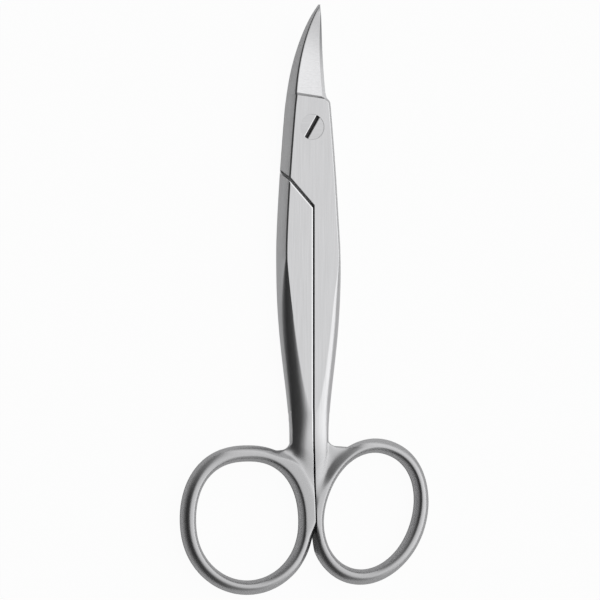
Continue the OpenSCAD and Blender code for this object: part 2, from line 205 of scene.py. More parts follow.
# The rings are forged onto the shanks, so the skin below the join is melted into one surface:
# outside a ring's rim up to a reach, and inside it up to one for each half. It fades out
# towards the join, past the width of the shank and on the middle of its sides.
JOIN_DROP = 51.0 * MM
MELT_GRAIN = 0.13 * MM
MELT_ROUNDS = 110
EVEN_ROUNDS = 4
MELT_REACH = 1.9 * MM
MELT_FADE = 1.1 * MM
MELT_INNER = {1: 1.9 * MM, -1: 1.2 * MM}
MELT_INNER_FADE = 0.8 * MM
MELT_BESIDE = 0.8 * MM
MELT_BELOW = 1.0 * MM
MELT_JOIN_FADE = 2.5 * MM
MELT_SIDE = 0.1 * MM
MELT_SIDE_FADE = 0.5 * MM

# Bar of the rings: run of its outer and inner slopes, the height of their foot, the share of
# the run at which they bend, and where the bar starts to widen
CREST_IN = 1.48 * MM
INNER_RUN = 1.08 * MM
SPREAD_FROM = 0.9 * MM
FOOT = 0.28 * MM
OUTER_KNEE = 0.5
INNER_KNEE = 0.62
BAR_SIDE_EXTRA = 0.15 * MM
FLARE_TURN = math.radians(24)
RING_STEPS = 240

# Hole of each ring: centre from the pivot, length, width, lean, squareness at the top and
# bottom, extra width of the bar and the direction of its widest side, and the flare along
# the closing line with its two ends
RINGS = {
    1: {
        "centre": (11.46 * MM, -68.67 * MM), "length": 21.3 * MM, "width": 16.4 * MM,
        "lean": math.radians(21), "square": (2.12, 2.02), "extra": 0.2 * MM,
        "wide": math.radians(-115), "flare": 0.75 * MM,
        "flare_ends": (math.radians(140), math.radians(209)),
    },
    -1: {
        "centre": (11.645 * MM, -70.33 * MM), "length": 21.2 * MM, "width": 19.5 * MM,
        "lean": math.radians(1.5), "square": (2.35, 2.03), "extra": 0.34 * MM,
        "wide": math.radians(70), "flare": 1.35 * MM,
        "flare_ends": (math.radians(112), math.radians(197)),
    },
}

# Broken edges: slope of their bevel, where the one along the closing line fades, to which
# share, and ends, and how far the face has fallen where the shoulder's one ends
ARRIS_SLOPE = 0.42
ARRIS_FADE = 0.5
ARRIS_FADE_DROP = 50.0 * MM
ARRIS_FADE_LEN = 10.0 * MM
ARRIS_END_DROP = 73.0 * MM
FACE_FALL = 0.1 * MM
NEAR = 0.04 * MM

# Screw and its bores
SLOT_ANGLE = math.radians(59.5)
SLOT_ARRIS = 0.12 * MM
HEAD_GAP = 0.012 * MM
HEAD_T = 0.825 * MM
SEAT_DEPTH = 0.9 * MM
SCREW_R = 1.5 * MM
FRONT_BORE_R = 1.53 * MM
BACK_BORE_R = 1.51 * MM
BACK_BORE_TOP = 3.0 * MM

# Faces round the turned shapes: bores, screw and seat, and the cut behind the blades
BORE_STEPS = 96
HEAD_STEPS = 128
SWING_STEPS = 160

# Rows of sections along each part, and points along the cuts at its edges
PLATE_ROWS = 24
SHANK_ROWS = 150
LOWER_ROWS = 30
CROTCH_ROWS = 20
WEB_ROWS = 12
BLADE_ROWS = 60
GROOVE_ROWS = 40
SWING_ROWS = 40
CLOSING_ROWS = 120
SHOULDER_ROWS = 60

# Mesh work: the distance at which points are one, the turn from which an edge is sharp, a
# height above all faces, and the lap of a half's two parts at the join
SAME_PLACE = 0.0001 * MM
SHARP_ANGLE = math.radians(18)
ABOVE_ALL = 10.0 * MM
JOIN_LAP = 0.02 * MM


def mix(a, b, t):
    return a + (b - a) * t


def mix_points(a, b, t):
    return tuple(mix(p, q, t) for p, q in zip(a, b))


def clamp01(t):
    return max(0.0, min(1.0, t))


def eased(t):
    """Smooth rise from 0 to 1, level before and after it"""
    t = clamp01(t)
    return t * t * (3 - 2 * t)


def steps(count):
    return [i / count for i in range(count + 1)]


class HalfShape:
    """Cross sections and outlines of one half: side is 1 for the front half, -1 for the back"""

    arc_steps = 14
    crest_steps = 8
    bar_steps = 18
    face_places = (0.0, 0.01, 0.04, 0.2, 0.4, 0.6, 0.8, 0.96, 0.99, 1.0)

    def __init__(self, sizes, side):
        self.s = sizes
        self.side = side
        self.half_t = sizes.plate_t / 2
        self.neck = sizes.neck_drop + (0 if side > 0 else NECK_STEP)
        self.crotch = self.neck + sizes.crotch_r
        self.flat_start = sizes.belly_drop + FLAT_DELAY
        self.flat_end = sizes.neck_drop - FLAT_LEAD
        self.taper_start = sizes.neck_drop - TAPER_LEAD
        self.tail_start = sizes.neck_drop + TAIL_LEAD
        self.tail_drop = self.tail_start + TAIL_LEN
        run = sizes.blade_len - FLAT_R
        self.bend_r = (run * run + sizes.tip_rise**2) / (2 * sizes.tip_rise)

    def bend(self, r):
        """Height of the lapped faces at a distance from the pivot"""
        if r <= FLAT_R:
            return 0.0
        return self.bend_r - math.sqrt(self.bend_r**2 - (r - FLAT_R) ** 2)

    def tail(self, y):
        """Share of the way from the crotch to the end of the shank"""
        return clamp01((-self.crotch - y) / (self.tail_drop - self.crotch))

    def half_w(self, y):
        """Half width of the body at a height y"""
        s = self.s
        belly, heel, neck = s.belly_w / 2, s.heel_w / 2, s.neck_w / 2
        if y >= -s.belly_drop:
            t = clamp01((s.step_rise - y) / (s.step_rise + s.belly_drop))
            return belly - (belly - heel) * (1 - t) ** WIDEN
        if y >= -self.neck:
            t = clamp01((-s.belly_drop - y) / (self.neck - s.belly_drop))
            return mix(belly, neck, eased(t**NARROW))
        return mix(neck, TAIL_W, clamp01((-self.tail_start - y) / TAIL_LEN) ** TAIL_TAPER)

    def web_w(self, y):
        """Half width of the low web in the crotch"""
        neck, r, low = self.s.neck_w / 2, self.s.crotch_r, -self.crotch
        if y >= low:
            u = clamp01((-self.neck - y) / r)
            return neck - EDGE_ROUND / 2 + r * (1 - math.sqrt(max(0.0, 1 - u * u)))
        wide = neck + r + WEB_STEP
        fallen = max(0, (low - WEB_LEN - y) / (self.tail_drop + low - WEB_LEN))
        return min(
            mix(neck + r - EDGE_ROUND / 2, wide, (low - y) / WEB_LEN),
            mix(wide, TAIL_W, fallen**WEB_POWER),
        )

    def right_trim(self, y):
        """How far a shank's right side stays within the half width"""
        start, end = self.s.belly_drop - TRIM_LEAD, self.s.belly_drop + TRIM_DELAY
        upper = mix(PLATE_TRIM, 0, eased((-start - y) / (end - start)))
        return upper + NECK_TRIM * eased((-end - y) / (self.s.neck_drop - end))

    def spine_corner(self, y):
        """How far the plate's left side runs in to meet the blade's spine"""
        t = clamp01((y - self.s.step_rise + 2 * CORNER_R) / (2 * CORNER_R))
        trim = 0 if self.side > 0 else PLATE_TRIM
        blade = self.s.blade_len - self.s.step_rise + BLADE_OVERLAP
        spine = self.spine(BLADE_OVERLAP / blade)
        return (self.s.heel_w / 2 - spine + self.side * HEEL_OFFSET - trim) * eased(t)

    def edge_corner(self, y):
        """Rounding of the plate's corner beside the cutting edge"""
        t = clamp01((y - self.s.step_rise + CORNER_R) / CORNER_R)
        return CORNER_R * (1 - math.sqrt(max(0.0, 1 - t * t)))

    def top(self, y):
        """Half thickness of the body at a height y"""
        crotch_half_t = CROTCH_HALF_T[self.side]
        if y >= -self.crotch:
            t = clamp01((-self.taper_start - y) / (self.crotch - self.taper_start))
            return mix(self.half_t, crotch_half_t, eased(t))
        return mix(crotch_half_t, TAIL_HALF_T[self.side], eased(self.tail(y)))

    def facet(self, y):
        """Height of the straight part of a side facet"""
        rim_len = RIM_LEN_SHARE * (self.s.neck_drop - self.s.belly_drop)
        t = clamp01((-self.s.belly_drop - RIM_DELAY - y) / rim_len)
        return mix(self.half_t * FACET_SHARE, self.s.rim_h, 1 - (1 - t) ** 3)

    def steep(self, y):
        """Run of the steeper side facet on the front of a shank's outer side"""
        return mix(STEEP_RUN, FACET_RUN, eased((-self.flat_start - y) / STEEP_LEN))

    def taper(self, y):
        """Share of the way along the narrowing flat face"""
        return clamp01((-self.flat_start - y) / (self.flat_end - self.flat_start))

    def flat(self, y, run):
        """Half width of the flat face at a height y"""
        wide = self.half_w(max(y, -self.flat_start)) - run * self.half_t - EDGE_ROUND
        return max(FLAT_LEAST, wide * (1 - self.taper(y) ** FLAT_EASE) ** FLAT_TAPER)

    def close(self, y):
        """Place of the closing line across the plan, without the gap"""
        return CLOSE_X + LEAN * max(0.0, -self.taper_start - y)

    def edge_x(self, y):
        """Place of the half's own closing edge"""
        return self.side * self.close(y) + self.s.shank_gap / 2

    def side_run(self, w, flat, facet, top, run):
        """Side of a cross section, from its rim up to the flat face"""
        a, b = (-w + run * facet, facet), (-flat, top)
        peak = (
            (a[0] + b[0]) / 2 + BULGE * (a[1] - b[1]),
            (a[1] + b[1]) / 2 + BULGE * (b[0] - a[0]),
        )
        places = [(-w, 0.0), mix_points((-w, 0.0), a, 0.5)]
        for t in steps(self.arc_steps)[:-1]:
            places.append(mix_points(mix_points(a, peak, t), mix_points(peak, b, t), t))
        return places

    def front(self, y, run):
        """Front of a cross section, its right side facet with a run of its own"""
        w, facet, top = self.half_w(y), self.facet(y), self.top(y)
        flat_left, flat_right = self.flat(y, FACET_RUN), self.flat(y, run)
        lean = self.side * (self.close(y) - CLOSE_X)
        shift = lean * self.tail(y)
        mid = lean - shift + self.side * CREST_SHIFT * self.taper(y)
        trim = self.right_trim(y)
        in_left = shift + self.spine_corner(y) + (0 if self.side > 0 else trim)
        in_right = self.edge_corner(y) - shift + (trim if self.side > 0 else 0)
        left = self.side_run(w, flat_left - mid, facet, top, FACET_RUN)
        right = self.side_run(w, flat_right + mid, facet, top, run)
        face = [
            (mix(mid - flat_left + in_left, mid + flat_right - in_right, t), top)
            for t in self.face_places
        ]
        return (
            [(x + in_left, z) for x, z in left]
            + face
            + [(-x - in_right, z) for x, z in reversed(right)]
        )

    def section(self, y):
        """Cross section of the body in space, clockwise from its left rim"""
        front, back = self.front(y, self.steep(y)), self.front(y, FACET_RUN)
        outline = front + [(x, -z) for x, z in back[-2:0:-1]]
        t = clamp01((y - self.s.step_rise + 2 * CORNER_R) / (2 * CORNER_R))
        return [
            (x, y + t * (STEP_LEN * (1 - z / self.half_t) - STEP_DROP - STEP_SLANT * x), z)
            for x, z in outline
        ]

    def web_section(self, y):
        """Cross section of the low web in space, clockwise from its left edge"""
        w, run = self.web_w(y), FACET_RUN * self.s.rim_h
        shift = self.side * (self.close(y) - CLOSE_X) * self.tail(y)
        upper = [(-w, 0.0), (-w + run / 2, WEB_HALF_T / 2), (-w + run, WEB_HALF_T)]
        upper += [(-x, z) for x, z in reversed(upper)]
        outline = upper + [(x, -z) for x, z in upper[-2:0:-1]]
        return [(x + shift, y, z) for x, z in outline]

    def spine(self, t):
        """Width of a blade from its axis to its spine, at a share of its length"""
        return self.s.spine_w * (1 - t**OUTLINE_POWER) ** OUTLINE_ROOT

    def blade_section(self, t, y, inset):
        """Cross section of a blade's blank in space, clockwise from its spine"""
        s = self.s
        axis = self.side * mix(HEEL_OFFSET, TIP_OFFSET, t * t)
        spine = max(self.spine(t) - inset, s.tip_t / 3)
        edge = max(spine - s.spine_proud * (1 - t**3), s.tip_t / 4)
        high = mix(self.half_t - EDGE_ROUND / 4, s.tip_t, t**THIN_POWER) - inset
        run = min(FACET_RUN * high, (spine + edge) / 2)
        rim = (axis - spine, 0.0)
        shoulder = (axis - spine + run * BLADE_SHARE, high * BLADE_SHARE)
        land = (axis + edge, s.edge_t * mix(1, s.tip_t / MM, t))
        corner = (axis - spine + run, high)
        crest = mix_points(corner, land, min(CREST_MOST, BLADE_ROUND / (spine + edge)))
        upper = [mix_points(rim, shoulder, u) for u in steps(3)]
        upper += [
            mix_points(mix_points(shoulder, corner, u), mix_points(corner, crest, u), u)
            for u in steps(self.crest_steps)[1:-1]
        ]
        upper += [mix_points(crest, land, u) for u in self.face_places]
        upper.append((axis + edge, 0.0))

        def rise(x):
            return self.side * self.bend(math.hypot(x, y))

        return [(x, y, z + rise(x)) for x, z in upper] + [
            (x, y, rise(x) - OVER) for x, z in upper[-2::-1]
        ]

    def ring_path(self, count):
        """Edge of a ring's hole as (x, y, width of the bar away from the centre)"""
        ring = RINGS[self.side]
        cx, cy = ring["centre"]
        first, last = ring["flare_ends"]
        path = []
        for k in range(count):
            a = math.tau * k / count
            along = abs(math.cos(a - math.pi / 2 + ring["lean"])) / (ring["length"] / 2)
            across = abs(math.sin(a - math.pi / 2 + ring["lean"])) / (ring["width"] / 2)
            n = mix(ring["square"][1], ring["square"][0], (1 + math.sin(a)) / 2)
            inner = (along**n + across**n) ** (-1 / n)
            flare = eased((a - first) / FLARE_TURN)
            flare *= eased((last - a) / FLARE_TURN)
            width = self.s.bar_w + BAR_SIDE_EXTRA * math.cos(a) ** 2 + ring["flare"] * flare
            width += ring["extra"] * (1 + math.cos(a - ring["wide"])) / 2
            path.append((cx + inner * math.cos(a), cy + inner * math.sin(a), width))
        return path

    def bar_section(self):
        """Section of a ring's bar as (distance from the hole, height), from its outer side"""
        wide, top = self.s.bar_w, self.s.ring_t / 2
        outer = [(wide, FOOT), (wide - OUTER_KNEE * CREST_IN, top), (wide - CREST_IN, top)]
        inner = [(INNER_RUN, top), (INNER_KNEE * INNER_RUN, top), (0, FOOT)]
        upper = []
        for a, b, c in (outer, inner):
            for t in steps(self.bar_steps):
                upper.append(mix_points(mix_points(a, b, t), mix_points(b, c, t), t))
        return upper + [(x, -z) for x, z in reversed(upper)]

    def outside_ring(self, points):
        """Distance of places in the plan beyond the ring's outer side, below zero inside it"""
        cx, cy = RINGS[self.side]["centre"]
        path = np.array(self.ring_path(RING_STEPS))
        rims = np.hypot(path[:, 0] - cx, path[:, 1] - cy) + path[:, 2]
        angles = np.arctan2(points[:, 1] - cy, points[:, 0] - cx) % math.tau
        rim = np.interp(angles, np.linspace(0, math.tau, RING_STEPS + 1), np.append(rims, rims[0]))
        return np.hypot(points[:, 0] - cx, points[:, 1] - cy) - rim


# Mesh making


def new_object(name, mesh):
    obj = bpy.data.objects.new(name, mesh)
    bpy.context.scene.collection.objects.link(obj)
    return obj


def solid(name, rows, faces, material, end_material=None):
    """Closed mesh over rows of points, whose first face can have a material of its own"""
    mesh = bpy.data.meshes.new(name)
    mesh.from_pydata([p for row in rows for p in row], [], faces)
    mesh.materials.append(material)
    if end_material:
        mesh.materials.append(end_material)
        mesh.polygons[0].material_index = 1
    clean(mesh)
    return new_object(name, mesh)


def skin(name, rows, material, end_material=None):
    """Solid skin over a row of closed cross sections, with flat ends"""
    n = len(rows[0])
    faces = [list(range(n))[::-1], [(len(rows) - 1) * n + i for i in range(n)]]
    for j in range(len(rows) - 1):
        for i in range(n):
            k = (i + 1) % n
            faces.append([j * n + i, j * n + k, (j + 1) * n + k, (j + 1) * n + i])
    return solid(name, rows, faces, material, end_material)


def ring_skin(name, rows, material):
    """Solid skin over cross sections that run round in a ring"""
    n, count = len(rows[0]), len(rows)
    faces = []
    for j in range(count):
        for i in range(n - 1):
            low, high = j * n + i, (j + 1) % count * n + i
            faces.append([low, low + 1, high + 1, high])
    return solid(name, rows, faces, material)


def clean(mesh):
    """Merges doubled points and turns the faces outwards"""
    bm = bmesh.new()
    bm.from_mesh(mesh)
    bmesh.ops.remove_doubles(bm, verts=bm.verts, dist=SAME_PLACE)
    bmesh.ops.recalc_face_normals(bm, faces=bm.faces)
    bm.to_mesh(mesh)
    bm.free()


def prism(name, outline, low, high, material):
    """Upright prism over a plan outline"""
    rows = [[(x, y, z) for x, y in outline] for z in (low, high)]
    return skin(name, rows, material)


def lathe(name, profile, count, material, turn=math.tau):
    """Solid turned about the pivot's axis from a profile of (radius, height)"""
    whole = turn == math.tau
    rows = []
    for t in steps(count)[: count if whole else count + 1]:
        a = turn * t
        rows.append([(r * math.cos(a), r * math.sin(a), z) for r, z in profile])
    return ring_skin(name, rows, material) if whole else skin(name, rows, material)


def diamond(path, across, material):
    """Thin flat bar along an edge, which breaks the edge when it is cut away"""
    rows = []
    for x, y, z, width in path:
        p = Vector((x, y, z))
        side = Vector(across).normalized() * width
        up = Vector((0, 0, width * ARRIS_SLOPE))
        rows.append([tuple(p + side), tuple(p + up), tuple(p - side), tuple(p - up)])
    return skin("arris", rows, material)


def settled(obj):
    """Mesh of an object with its modifiers applied"""
    graph = bpy.context.evaluated_depsgraph_get()
    return bpy.data.meshes.new_from_object(
        obj.evaluated_get(graph), preserve_all_data_layers=True, depsgraph=graph
    )


def renew(obj, mesh):
    """Gives an object a new mesh in place of its old one"""
    old, obj.data = obj.data, mesh
    bpy.data.meshes.remove(old)


def combine(obj, tool, operation):
    """Joins a tool to an object or cuts it away, and removes the tool"""
    modifier = obj.modifiers.new("Cut", "BOOLEAN")
    modifier.operation = operation
    modifier.solver = "MANIFOLD"
    modifier.object = tool
    modifier.material_mode = "TRANSFER"
    mesh = settled(obj)
    obj.modifiers.remove(modifier)
    renew(obj, mesh)
    spent = tool.data
    bpy.data.objects.remove(tool)
    bpy.data.meshes.remove(spent)


# Node making


def feed(tree, socket, value):
    """Sets a socket to a value, or links it from another socket"""
    if isinstance(value, bpy.types.NodeSocket):
        tree.links.new(value, socket)
    else:
        socket.default_value = value


def add_node(tree, kind, values=None, **settings):
    """Node with its settings, and with values or other sockets for its inputs"""
    node = tree.nodes.new(kind)
    for name, setting in settings.items():
        setattr(node, name, setting)
    for place, value in (values or {}).items():
        feed(tree, node.inputs[place], value)
    return node


def add_maths(tree, operation, *values):
    """Result of a sum over numbers and sockets"""
    node = add_node(tree, "ShaderNodeMath", dict(enumerate(values)), operation=operation)
    return node.outputs[0]


def add_mix(tree, kind, factor, first, second, blend="MIX"):
    """Result of mixing two sockets of one kind"""
    node = add_node(tree, "ShaderNodeMix", data_type=kind, blend_type=blend)
    places = {socket.name: socket for socket in node.inputs if socket.enabled}
    for name, value in (("Factor", factor), ("A", first), ("B", second)):
        feed(tree, places[name], value)
    return next(socket for socket in node.outputs if socket.enabled)


def add_ends(tree, inputs, outputs):
    """Names the sockets of a node group, and gives the ones that its nodes link to"""
    for way, kinds in (("INPUT", inputs), ("OUTPUT", outputs)):
        for name, kind in kinds.items():
            tree.interface.new_socket(name, in_out=way, socket_type="NodeSocket" + kind)
    return tree.nodes.new("NodeGroupInput").outputs, tree.nodes.new("NodeGroupOutput").inputs


def hold(tree, geometry, values):
    """Holds values, each with its kind, on a geometry, and gives both as sockets"""
    node = add_node(tree, "GeometryNodeCaptureAttribute", {"Geometry": geometry})
    for name, (kind, value) in values.items():
        node.capture_items.new(kind, name)
        feed(tree, node.inputs[name], value)
    return node.outputs


# Rings


def build_ring_tree():
    """Geometry nodes that sweep a bar around the edge of a ring's hole"""
    tree = bpy.data.node_groups.new("Ring bar", "GeometryNodeTree")
    sockets = {
        "Geometry": "Geometry",
        "Section": "Object",
        "Centre": "Vector",
        "Bar width": "Float",
        "Spread from": "Float",
        "Rounding": "Float",
        "Steel": "Material",
    }
    given, made = add_ends(tree, sockets, {"Geometry": "Geometry"})

    def vector(operation, values):
        node = add_node(tree, "ShaderNodeVectorMath", values, operation=operation)
        return node.outputs[0]

    # The section, and how far each of its points moves out where the bar widens
    section = add_node(tree, "GeometryNodeObjectInfo", {"Object": given["Section"]})
    at = add_node(tree, "GeometryNodeInputPosition").outputs[0]
    split = add_node(tree, "ShaderNodeSeparateXYZ", {0: at})
    slope = add_maths(tree, "SUBTRACT", given["Bar width"], given["Rounding"])
    span = {"Value": split.outputs["X"], "From Min": given["Spread from"], "From Max": slope}
    share = add_node(tree, "ShaderNodeMapRange", span).outputs["Result"]
    shared = hold(tree, section.outputs["Geometry"], {"Share": ("FLOAT", share)})

    # The path: its radius holds the bar's width there, and outwards is away from the centre
    radius = add_node(tree, "GeometryNodeInputRadius").outputs[0]
    wider = add_maths(tree, "SUBTRACT", radius, 1.0)
    wider = add_maths(tree, "MULTIPLY", wider, given["Bar width"])
    away = vector("NORMALIZE", {0: vector("SUBTRACT", {0: at, 1: given["Centre"]})})
    values = {"Wider": ("FLOAT", wider), "Outwards": ("VECTOR", away)}
    held = hold(tree, given["Geometry"], values)
    path = {"Curve": held["Geometry"], "Radius": 1.0}
    even = add_node(tree, "GeometryNodeSetCurveRadius", path)

    bar = {"Curve": even.outputs["Curve"], "Profile Curve": shared["Geometry"]}
    sweep = add_node(tree, "GeometryNodeCurveToMesh", bar)
    reach = add_maths(tree, "MULTIPLY", held["Wider"], shared["Share"])
    move = vector("SCALE", {0: held["Outwards"], "Scale": reach})
    place = {"Geometry": sweep.outputs["Mesh"], "Offset": move}
    moved = add_node(tree, "GeometryNodeSetPosition", place)
    whole = {"Geometry": moved.outputs["Geometry"]}
    real = add_node(tree, "GeometryNodeRealizeInstances", whole)
    finish = {"Geometry": real.outputs["Geometry"], "Material": given["Steel"]}
    steel = add_node(tree, "GeometryNodeSetMaterial", finish)
    feed(tree, made["Geometry"], steel.outputs["Geometry"])
    return tree


def closed_curve(name, points, radii=None):
    """Closed curve in a plane, whose radii can carry a value along it"""
    curve = bpy.data.curves.new(name, "CURVE")
    curve.dimensions = "3D"
    curve.twist_mode = "Z_UP"
    line = curve.splines.new("POLY")
    line.points.add(len(points) - 1)
    line.use_cyclic_u = True
    for k, (x, y) in enumerate(points):
        line.points[k].co = (x, y, 0.0, 1.0)
        line.points[k].radius = radii[k] if radii else 1.0
    return new_object(name, curve)


def build_ring(shape, material):
    """One ring as a closed mesh, in its half's own frame"""
    s = shape.s
    path = shape.ring_path(RING_STEPS)
    centre = Vector(RINGS[shape.side]["centre"])
    radii = []
    for k, (x, y, width) in enumerate(path):
        along = Vector(path[(k + 1) % RING_STEPS][:2]) - Vector(path[k - 1][:2])
        away = (Vector((x, y)) - centre).normalized()
        square = abs(along.normalized().cross(away))
        radii.append(1 + width / s.bar_w - 1 / square)
    hole = closed_curve("hole", [p[:2] for p in path], radii)
    section = closed_curve("section", shape.bar_section())
    tree = bpy.data.node_groups.get("Ring bar") or build_ring_tree()
    modifier = hole.modifiers.new("Ring bar", "NODES")
    modifier.node_group = tree
    values = {
        "Section": section,
        "Centre": tuple(centre) + (0.0,),
        "Bar width": s.bar_w,
        "Spread from": SPREAD_FROM,
        "Rounding": CREST_IN,
        "Steel": material,
    }
    for item in tree.interface.items_tree:
        if item.in_out == "INPUT" and item.name in values:
            modifier[item.identifier] = values[item.name]
    mesh = settled(hole)
    for obj in (hole, section):
        curve = obj.data
        bpy.data.objects.remove(obj)
        bpy.data.curves.remove(curve)
    clean(mesh)
    return new_object("ring", mesh)


# Halves


def upper_stations(shape):
    """Places of the sections from the step down to the join, closest at the step"""
    low = shape.s.step_rise - 2 * CORNER_R
    plate = [shape.s.step_rise - 2 * CORNER_R * t**STATION_POWER for t in steps(PLATE_ROWS)]
    return plate + [mix(low, -JOIN_DROP - JOIN_LAP, t) for t in steps(SHANK_ROWS)[1:]]


def lower_stations(shape):
    """Places of the sections from above the join down to the end of the shank"""
    shank = [mix(-JOIN_DROP + MM, -shape.crotch, t) for t in steps(LOWER_ROWS)]
    return shank + [mix(-shape.crotch, -shape.tail_drop, t) for t in steps(LOWER_ROWS)[1:]]


def web_stations(shape):
    """Places of the web's sections, round the crotch and down to its end"""
    turns = [math.pi / 2 * t for t in steps(CROTCH_ROWS)]
    crotch = [-shape.neck - shape.s.crotch_r * math.sin(a) for a in turns]
    start = -shape.crotch - WEB_LEN
    return crotch + [mix(start, -shape.tail_drop, t) for t in steps(WEB_ROWS)]


def melt(obj, shape):
    """Makes one even skin of a half's lower part, and rounds it where the ring joins"""
    modifier = obj.modifiers.new("Even skin", "REMESH")
    modifier.mode = "VOXEL"
    modifier.voxel_size = MELT_GRAIN
    mesh = settled(obj)
    obj.modifiers.remove(modifier)
    count = len(mesh.vertices)
    points = np.empty(count * 3)
    mesh.vertices.foreach_get("co", points)
    points = points.reshape(-1, 3)
    edges = np.empty(len(mesh.edges) * 2, dtype=np.int32)
    mesh.edges.foreach_get("vertices", edges)
    ends = np.concatenate((edges[0::2], edges[1::2]))
    others = np.concatenate((edges[1::2], edges[0::2]))
    links = np.maximum(np.bincount(ends, minlength=count), 1)

    def fade(t):
        t = np.clip(t, 0, 1)
        return t * t * (3 - 2 * t)

    xs, ys, zs = points.T
    spread = np.array([max(shape.web_w(y), shape.half_w(y)) for y in ys])
    beyond = shape.outside_ring(points)
    weight = fade((MELT_REACH - beyond) / MELT_FADE)
    weight *= fade((beyond + MELT_INNER[shape.side]) / MELT_INNER_FADE)
    weight *= fade((spread + MELT_BESIDE - np.abs(xs)) / MM)
    weight *= fade((-JOIN_DROP - MELT_BELOW - ys) / MELT_JOIN_FADE)
    weight *= fade((np.abs(zs) - MELT_SIDE) / MELT_SIDE_FADE)
    for k in range(MELT_ROUNDS):
        middle = np.stack(
            [np.bincount(ends, points[others, axis], count) / links for axis in range(3)], axis=1
        )
        share = 0.5 if k < EVEN_ROUNDS else 0.5 * weight[:, None]
        points = points + share * (middle - points)
    mesh.vertices.foreach_set("co", points.ravel())
    mesh.update()
    renew(obj, mesh)


def build_lower(shape, steels):
    """Lower end of a shank with its ring"""
    lower = skin("lower", [shape.section(y) for y in lower_stations(shape)], steels["shank"])
    web = [shape.web_section(y) for y in web_stations(shape)]
    combine(lower, skin("web", web, steels["shank"]), "UNION")
    combine(lower, build_ring(shape, steels["shank"]), "UNION")
    melt(lower, shape)
    reach = shape.s.belly_w
    above = [(-reach, -JOIN_DROP), (-reach, 0), (reach, 0), (reach, -JOIN_DROP)]
    combine(lower, prism("above", above, -reach, reach, steels["shank"]), "DIFFERENCE")
    return lower


def shoulder_line(lift):
    """Height of the shoulder across the plan, lifted square to its slant"""
    slope = math.hypot(1, SHOULDER_RISE)
    return lambda x: -SHOULDER_DROP - x * SHOULDER_RISE + lift * slope


def face_finder(obj, side):
    """Function that gives the height of an object's outer face at a place in its plan"""
    mesh = obj.data
    tree = BVHTree.FromPolygons(
        [tuple(v.co) for v in mesh.vertices], [tuple(p.vertices) for p in mesh.polygons]
    )

    def height(x, y):
        hit = tree.ray_cast(Vector((x, y, ABOVE_ALL * side)), Vector((0, 0, -side)))[0]
        return hit.z if hit else 0.0

    return height


def cut_step(body, shape, steel):
    """Shallow groove along the foot of the step that the blade's ground face starts at"""
    s = shape.s
    height = face_finder(body, 1)
    axis = shape.side * HEEL_OFFSET
    left = axis - s.spine_w + FACET_RUN * shape.half_t + GROOVE_SINK
    right = axis + s.spine_w - s.spine_proud
    rows = []
    for x in [mix(left, right, t) for t in steps(GROOVE_ROWS)]:
        low = s.step_rise - STEP_DROP - STEP_SLANT * x
        high = low + STEP_GROOVE
        floor = height(x, high + GROOVE_SINK) - GROOVE_SINK
        foot = [(x, low, floor), (x, high, floor + GROOVE_SINK / 2)]
        rows.append(foot + [(x, high, GROOVE_TOP), (x, low - NEAR / 2, GROOVE_TOP)])
    # The groove's faces take the step steel, darkened as painted shade
    combine(body, skin("step", rows, steel), "DIFFERENCE")


def break_edges(body, shape, arris, steel):
    """Breaks the closing edge and the shoulder's edge, on both faces"""
    s = shape.s
    for side in (1, -1):
        height = face_finder(body, side)
        line = shoulder_line(side * s.groove_w / 2)
        corner = shape.edge_x(0)
        closing = []
        start = line(side * corner)
        for y in [mix(start, -ARRIS_END_DROP, t) for t in steps(CLOSING_ROWS)]:
            fade = eased((-ARRIS_FADE_DROP - y) / ARRIS_FADE_LEN)
            width = arris * mix(1, ARRIS_FADE, fade)
            x = shape.edge_x(y)
            closing.append((x, y, height(x + NEAR, y), width))
        shoulder = []
        for x in [mix(corner, -side * s.belly_w / 2, t) for t in steps(SHOULDER_ROWS)]:
            y = line(side * x)
            z = height(x, y + side * NEAR)
            if side * z < shape.half_t - FACE_FALL:
                break
            shoulder.append((x, y, z, arris))
        # The cut bevels take the edge steel, brightened as a painted highlight
        for path, across in ((closing, (1, 0, 0)), (shoulder, (SHOULDER_RISE * side, 1, 0))):
            combine(body, diamond(path, across, steel), "DIFFERENCE")


